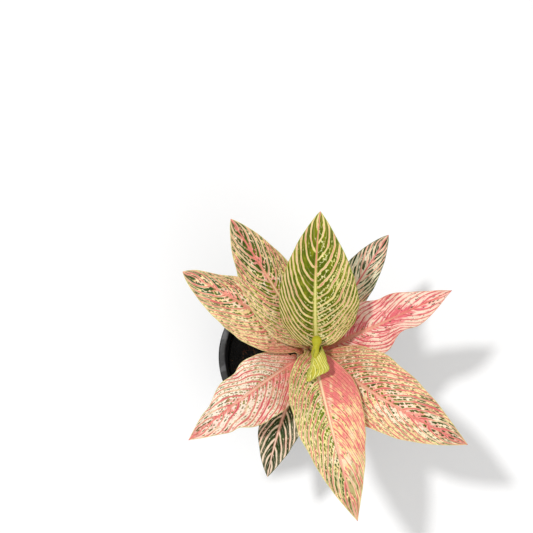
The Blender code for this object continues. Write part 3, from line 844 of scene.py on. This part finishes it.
def ringPoint(line, row, around, radius):
    index = round(row * (len(line) - 1))
    side, up = lineFrame(line, index)
    return line[index] + (side * math.cos(around) + up * math.sin(around)) * radius


def makeYoungLeaf():
    stations = smoothLine("blade")
    travelled = [0.0]
    for lower, upper in zip(stations, stations[1:]):
        travelled.append(travelled[-1] + (Vector(upper[:3]) - Vector(lower[:3])).length)

    def placeBlade(row, column):
        index = round(row * (len(stations) - 1))
        x, y, z, *halves = stations[index]
        side, up = lineFrame(stations, index)
        hand, tuck = (0, youngLeaf.tuck) if column > 0 else (1, 0.0)
        radius, turn = halves[2 * hand:2 * hand + 2]
        angle = turn * column
        reach = radius * (1.0 - tuck * angle)
        point = Vector((x, y, z)) + side * reach * math.sin(angle) + up * (radius - reach * math.cos(angle))
        length, passed = travelled[-1], travelled[index]
        return (point, *patternsAt(youngPaint, row, length, column, radius * turn, hand, passed))

    bm = sheet(youngLeaf.columns, len(stations) - 1, placeBlade, youngLeaf.merge)
    surface = bladeFrom(bm, "new_leaf", "young", youngPaint, youngLeaf.thickness)

    line = smoothLine("stalk")
    stalkTone = Vector(tone(youngPaint.stalk)[:3])

    def placeStalk(row, column):
        around = math.pi * (column + 1.0)
        radius = youngLeaf.stalkRadius * (1.0 + 0.25 * (1.0 - smoothStep(row, 0.0, 0.3)))
        numbers = Vector((around, row, youngPaint.seed))
        return ringPoint(line, row, around, radius), numbers, stalkTone, Vector((0.1, 0.0, 0.0))

    bm = closedTube(youngLeaf.stalkSides, len(line) - 1, placeStalk)
    pieceFrom(bm, "new_leaf_stalk", [stalkFinish], ["new_leaf"], slotOf("new_leaf"))

    roll = smoothLine("roll")

    def placeRoll(row, column):  # the margin winds once round, so the roll ends in a low spiral
        around = math.pi * (column + 1.0)
        wound = 1.0 - 0.14 * (around / math.tau) ** 2
        crown = math.sqrt(max(1.0 - max((row - 0.72) / 0.28, 0.0) ** 2.4, 0.0))
        neck = 0.45 + 0.32 * smoothStep(row, 0.0, 0.25) - 0.10 * smoothStep(row, 0.3, 0.5)
        neck += 0.36 * smoothStep(row, 0.5, 0.75)
        point = ringPoint(roll, row, around, youngLeaf.rollRadius * neck * crown * wound)
        return point, Vector((0.5, row * 20.0, 3.0)), Vector((0.0, 0.7, 3.0)), Vector((3.0, 0.2, 0.4))

    bm = closedTube(youngLeaf.rollSides, len(roll) - 1, placeRoll, youngLeaf.merge)
    pieceFrom(bm, "new_leaf_roll", [surface], ["new_leaf"], slotOf("new_leaf"))


makeYoungLeaf()
print("young leaf made")


# Turned pieces: cane and pot

def turnedPiece(profile, steps):  # profile from the top of the axis, down the outside, to its foot
    bm = bmesh.new()
    points = [bm.verts.new((radius, 0.0, height)) for radius, height in profile]
    edges = [bm.edges.new(pair) for pair in zip(points, points[1:])]
    bmesh.ops.spin(
        bm, geom=points + edges, cent=(0, 0, 0), axis=(0, 0, 1), angle=math.tau, steps=steps, use_merge=True,
    )
    bmesh.ops.remove_doubles(bm, verts=bm.verts, dist=0.00001)
    bmesh.ops.recalc_face_normals(bm, faces=bm.faces)
    return bm


def rounded(profile, radius, pieces=3):  # the profile with its corners rounded
    made = [profile[0]]
    for before, corner, after in zip(profile, profile[1:], profile[2:]):
        corner, before, after = Vector(corner), Vector(before), Vector(after)
        back, ahead = before - corner, after - corner
        cut = min(radius, back.length * 0.45, ahead.length * 0.45)
        start, stop = corner + back.normalized() * cut, corner + ahead.normalized() * cut
        for t in (i / pieces for i in range(pieces + 1)):
            made.append(tuple(start * (1 - t) ** 2 + corner * 2 * t * (1 - t) + stop * t ** 2))
    return made + [profile[-1]]


canePaint = settings(
    skin="84844a", young="a8aa68", scar="96805c", dark="584e30",
)


def caneSurface():
    material, place = newMaterial("cane")
    colour = blend(ease(split(place)[2], 0.095, 0.168), canePaint.skin, canePaint.young)
    upright = scaled(place, 900.0, 900.0, 90.0)
    fibres = ease(grain(upright, 1.0, 3.0, 0.6), 0.45, 0.70, 0.0, 0.6)
    colour = blend(fibres, colour, canePaint.dark)
    rings = grain(scaled(place, 60.0, 60.0, 420.0), 1.0)
    colour = blend(ease(rings, 0.56, 0.66, 0.0, 0.6), colour, canePaint.scar)
    bark = rings + grain(upright, 1.0, 3.0)
    return finishSurface(material, colour, spread(rings, 0.45, 0.65), 0.5, bark, 0.5, 0.0003)


def makeCane():
    top, foot = cane.top.z, cane.foot.z
    nodes = sorted((shape["node"] - cane.ringDrop for shape in leafShapes.values()), reverse=True)
    cap = ((0.0, 0.0), (0.6, 0.0001), (0.9, 0.0007), (1.0, 0.0018))
    profile = [(caneRadius(top) * share, top - drop) for share, drop in cap]
    height = top - 0.0024
    while height > foot + 0.0005:
        bulge = sum(cane.ringBulge * hump(height, node, cane.ringReach) for node in nodes)
        profile.append((caneRadius(height) + min(bulge, cane.ringBulge), height))
        height -= cane.step
    profile += [(caneRadius(foot) * 0.6, foot), (0.0, foot)]
    bm = turnedPiece(profile, cane.sides)
    for vert in bm.verts:
        knot = noise.noise(Vector((vert.co.x * 250, vert.co.y * 250, vert.co.z * 90)))
        vert.co.xy = Vector(vert.co.xy) * (1.0 + cane.knots * knot)
        centre = caneCentre(vert.co.z)
        vert.co.x += centre.x
        vert.co.y += centre.y
    pieceFrom(bm, "stem_cane", [caneSurface()], ["stem"], "cane")


makeCane()

pot = settings(
    height=0.110, rim=0.060, base=0.043, neck=0.056, wall=0.0015, skirt=0.011, gap=0.0024,
    step=0.084, stepOut=0.0009, footWidth=0.0042, floorLift=0.0030, pad=0.011,
    holes=8, holeRadius=0.0045, holeRing=0.027, corner=0.0006, sides=144,
)

# the dust tone is the lighter grey of the rim's flat top: real dust together with a painted sheen of the
# light
potPaint = settings(
    dark="141415", pale="222120", dust="505052", scratch="605e5a",
)


def wallRadius(height):
    radius = pot.base + (pot.neck - pot.stepOut - pot.base) * height / pot.height
    return radius + (pot.stepOut if height > pot.step else 0.0)


def potSurface():
    material, place = newMaterial("blackPlastic")
    cloudy = grain(place, 35.0, 4.0, 0.6)
    colour = blend(ease(cloudy, 0.35, 0.7), potPaint.dark, potPaint.pale)
    # the flat top of the rim is painted lighter in patches: partly dust, partly a painted sheen of the
    # overhead light
    dustAndSheenPatches = ease(grain(place, 42.0, 3.0, 0.6), 0.49, 0.56, 0.15, 1.0)
    colour = blend(ease(split(place)[2], 0.1088, 0.1098) * dustAndSheenPatches, colour, potPaint.dust)
    scratch = ease(grain(scaled(place, 140.0, 140.0, 1200.0), 1.0, 3.0, 0.7), 0.64, 0.70)
    colour = blend(scratch * 0.25, colour, potPaint.scratch)
    gloss = scratch * 0.15 + spread(cloudy, 0.40, 0.58)
    height = scratch * -0.3 + grain(place, 1500.0)
    return finishSurface(material, colour, gloss, 0.3, height, 0.12, 0.0002)


def makePot():
    wall, tall, pad, step, lift = (pot[name] for name in ("wall", "height", "pad", "step", "floorLift"))
    rim, base, radius = pot.rim, pot.base, pot.holeRadius
    floor, skirtFoot, lipFoot = lift + wall, tall - pot.skirt, tall - wall
    skirtInside, footInside = wallRadius(lipFoot) + pot.gap, base - pot.footWidth

    def inside(height):
        return wallRadius(height) - wall

    profile = [
        (0.0, wall), (pad, wall), (pad + 0.002, floor), (inside(floor), floor),
        (inside(step), step), (inside(step + 0.002), step + 0.002),
        (inside(tall), tall - 0.0006), (inside(tall) + 0.0006, tall), (rim - 0.0008, tall),
        (rim, tall - 0.0008), (rim - 0.0004, skirtFoot), (skirtInside, skirtFoot),
        (skirtInside, lipFoot), (wallRadius(lipFoot), lipFoot),
        (wallRadius(step + 0.001), step + 0.001), (wallRadius(step), step - 0.001),
        (base + 0.0002, 0.001), (base - 0.0008, 0.0), (footInside, 0.0), (footInside - 0.001, lift),
        (pad + 0.001, lift), (pad, 0.0), (0.0, 0.0),
    ]
    bm = turnedPiece(rounded(profile, pot.corner), pot.sides)
    piece = pieceFrom(bm, "nursery_pot", [potSurface()], ["pot"], "black_plastic")
    cutters = []
    for i in range(pot.holes):
        turn = math.tau * (i + 0.015) / pot.holes  # clear of the wall's own edges
        place = (pot.holeRing * math.cos(turn), pot.holeRing * math.sin(turn), 0.003)
        bm = bmesh.new()
        bmesh.ops.create_cone(bm, cap_ends=True, segments=32, radius1=radius, radius2=radius, depth=0.01)
        bmesh.ops.translate(bm, vec=place, verts=bm.verts)
        cutters.append(objectFrom(bm, "hole"))
        cut = piece.modifiers.new("Hole", "BOOLEAN")
        cut.operation = "DIFFERENCE"
        cut.solver = "EXACT"
        cut.object = cutters[-1]
    finishWith(piece)
    for cutter in cutters:
        bpy.data.objects.remove(cutter, do_unlink=True)
    piece.data.set_sharp_from_angle(angle=math.radians(50))


makePot()
print("cane and pot made")


# Soil: a crumbly bed, with grains, bark chips and fibres lying on it

soil = settings(
    top=0.094, crown=0.0025, bump=0.0016, gap=0.0003, crumb=0.0006, fineCrumb=0.0003, rings=64, sides=150,
    reach=0.0505, grains=1500, chips=70, fibres=26, fibreRadius=0.00018, fibreSteps=8,
    fibreSides=5, lump=0.35, lumpScale=900.0, seed=41,
)

# All these tones are the soil's own dark colour, darkened further by painted shade for the deep shade inside
# the pot.
soilPaint = dict(  # dark, pale and fleck tones, and above what noise flecks show
    darkSoilInShade=("030202", "0b0806", "4c2a16", 0.76),
    soilGrain=("050403", "0e0a08", "402414", 0.74),
    barkChip=("1a110c", "462c1a", "8c5c32", 0.70),
    fibre=("2c160e", "542c1c", "74482c", 0.66),
)


def soilEdge(height):
    return wallRadius(height) - pot.wall - soil.gap


def soilHeight(x, y):
    reach = min(math.hypot(x, y) / soilEdge(soil.top), 1.0)
    spot = Vector((x, y, soil.top))
    clump = noise.noise(spot * 90.0) + 0.5 * noise.noise(spot * 210.0)
    fade = min(1.0, (1.0 - reach) * 5.0)
    return soil.top + soil.crown * (1.0 - reach * reach) + soil.bump * clump * fade


def soilSurface(name):
    material, place = newMaterial(name)
    dark, pale, fleck, share = soilPaint[name]
    crumbs = grain(place, 420.0, 4.0, 0.65)
    colour = blend(ease(crumbs, 0.35, 0.70), dark, pale)
    colour = blend(ease(grain(place, 650.0, 1.0), share, share + 0.03), colour, fleck)
    return finishSurface(material, colour, spread(crumbs, 0.80, 0.97), 0.2, crumbs, 0.8, 0.0010)


def makeSoilBed():
    step, floor, edge = pot.step, pot.floorLift + pot.wall + soil.gap, soilEdge(soil.top)
    profile = [(edge * ring / soil.rings, soil.top) for ring in range(soil.rings + 1)]
    profile += [(soilEdge(step) + pot.stepOut, step + 0.0025), (soilEdge(step), step)]
    profile += [(soilEdge(floor), floor), (soilEdge(floor) * 0.5, floor), (0.0, floor)]
    bm = turnedPiece(profile, soil.sides)
    for vert in bm.verts:
        if vert.co.z > soil.top - 0.0005:
            fade = min(1.0, (edge - math.hypot(vert.co.x, vert.co.y)) / 0.003)
            crumb = soil.crumb * noise.noise(vert.co * 520.0)
            crumb += soil.fineCrumb * noise.noise(vert.co * 1100.0)
            vert.co.z = soilHeight(vert.co.x, vert.co.y) + crumb * fade
    # the bed's tones carry painted shade as well as the soil's own dark colour
    pieceFrom(bm, "soil_bed", [soilSurface("darkSoilInShade")], ["soil"], "dark_soil")


chance = random.Random(soil.seed)
noise.seed_set(soil.seed)  # for the lumps on the grains and chips


def spotOnSoil(clear):
    while True:
        turn, reach = chance.uniform(0, math.tau), soil.reach * math.sqrt(chance.uniform(0.002, 1.0))
        x, y = reach * math.cos(turn), reach * math.sin(turn)
        centre = caneCentre(soil.top)
        if math.hypot(x - centre.x, y - centre.y) > caneRadius(soil.top) + clear:
            return x, y


def scatter(name, count, sizes, flatness, material):
    bm = bmesh.new()
    for i in range(count):
        size = chance.uniform(*sizes)
        x, y = spotOnSoil(size)
        verts = bmesh.ops.create_icosphere(bm, subdivisions=1, radius=size)["verts"]
        turn = Matrix.Rotation(chance.uniform(0, math.tau), 4, "Z")
        turn = turn @ Matrix.Rotation(chance.uniform(-0.6, 0.6), 4, "X")
        sides = [chance.uniform(*limits) for limits in ((0.7, 1.5), (0.6, 1.1), flatness)]
        lift = Matrix.Translation((x, y, soilHeight(x, y) + size * 0.25))
        bmesh.ops.transform(bm, matrix=lift @ turn @ Matrix.Diagonal((*sides, 1.0)), verts=verts)
        for vert in verts:
            vert.co += noise.noise_vector(vert.co * soil.lumpScale) * size * soil.lump
    pieceFrom(bm, name, [material], ["soil"], "dark_soil")


def fibreLine():  # shorter where it would meet the wall
    x, y = spotOnSoil(0.003)
    heading, length = chance.uniform(0, math.tau), chance.uniform(0.006, 0.018)
    bow, steps = chance.uniform(-0.9, 0.9), soil.fibreSteps
    line = []
    for share in (step / steps for step in range(steps + 1)):
        x += math.cos(heading + bow * share) * length / steps
        y += math.sin(heading + bow * share) * length / steps
        if math.hypot(x, y) > soil.reach:
            break
        line.append(Vector((x, y, soilHeight(x, y) + 0.0007 + 0.0008 * math.sin(math.pi * share))))
    return line


def makeFibres():
    bm = bmesh.new()
    for line in (fibreLine() for i in range(soil.fibres)):
        if len(line) < 4:
            continue
        made = bmesh.ops.create_circle(bm, cap_ends=True, segments=soil.fibreSides, radius=soil.fibreRadius)
        ahead = (line[1] - line[0]).to_track_quat("Z", "Y").to_matrix().to_4x4()
        bmesh.ops.transform(bm, matrix=Matrix.Translation(line[0]) @ ahead, verts=made["verts"])
        face = made["verts"][0].link_faces[0]
        for index, (lower, upper) in enumerate(zip(line, line[1:])):
            grown = bmesh.ops.extrude_face_region(bm, geom=[face])
            if index > 0:  # only the first face stays, as the end cap
                bmesh.ops.delete(bm, geom=[face], context="FACES_ONLY")
            face = [part for part in grown["geom"] if isinstance(part, bmesh.types.BMFace)][0]
            bmesh.ops.translate(bm, vec=upper - lower, verts=face.verts)
    bmesh.ops.recalc_face_normals(bm, faces=bm.faces)
    pieceFrom(bm, "soil_fibres", [soilSurface("fibre")], ["soil"], "dark_soil")


makeSoilBed()
scatter("soil_grains", soil.grains, (0.0005, 0.0015), (0.5, 0.9), soilSurface("soilGrain"))
scatter("soil_chips", soil.chips, (0.0010, 0.0024), (0.18, 0.35), soilSurface("barkChip"))
makeFibres()
print("soil made")


# Floor, light and camera

studio = settings(
    white="ffffff", floor="fefefe", floorGlow=0.04, floorReach=4.0, ambient=0.56,
    keyFrom=Vector((-0.40, 0.14, 1.60)), keyWidth=0.09, keyPower=11.6,
    fillFrom=Vector((0.7, -0.9, 1.5)), fillWidth=1.2, fillPower=5.0,
    aim=Vector((0.01, -0.01, 0.15)),
    camera=(-0.0208, -0.0690, 0.922), tilt=10.0,  # looks down, 10 degrees off the vertical
    sensor=36.0, focus=994.6, pixels=533,  # mm, then pixels
)


def floorSurface():
    material, place = newMaterial("floor")
    shade = spread(grain(place, 3.0), 0.97, 1.0)
    feed(material.node_tree.nodes["Principled BSDF"], {
        "Base Color": shaded(studio.floor, shade), "Roughness": 0.7, "Specular IOR Level": 0.1,
        "Emission Color": studio.white, "Emission Strength": studio.floorGlow,
    })
    return material


bm = bmesh.new()
bmesh.ops.create_grid(bm, x_segments=8, y_segments=8, size=studio.floorReach)
floor = objectFrom(bm, "floor", [floorSurface()])

world = bpy.data.worlds.new("studio")
world.use_nodes = True
world.node_tree.nodes["Background"].inputs["Color"].default_value = tone(studio.white)
world.node_tree.nodes["Background"].inputs["Strength"].default_value = studio.ambient
bpy.context.scene.world = world


def areaLight(name, place, width, power):
    data = bpy.data.lights.new(name, "AREA")
    data.shape = "DISK"
    data.size = width
    data.energy = power
    light = bpy.data.objects.new(name, data)
    light.location = place
    light.rotation_mode = "QUATERNION"
    light.rotation_quaternion = (studio.aim - place).to_track_quat("-Z", "Y")
    bpy.context.scene.collection.objects.link(light)


areaLight("keyLight", studio.keyFrom, studio.keyWidth, studio.keyPower)
areaLight("fillLight", studio.fillFrom, studio.fillWidth, studio.fillPower)

camera = bpy.data.objects.new("camera", bpy.data.cameras.new("camera"))
bpy.context.scene.collection.objects.link(camera)
camera.data.sensor_width = studio.sensor
camera.data.lens = studio.sensor * studio.focus / studio.pixels
camera.data.clip_start = 0.01
camera.location = studio.camera
camera.rotation_euler = (math.radians(studio.tilt), 0.0, 0.0)
bpy.context.scene.camera = camera
bpy.context.scene.view_settings.view_transform = "Standard"
print("stage set")
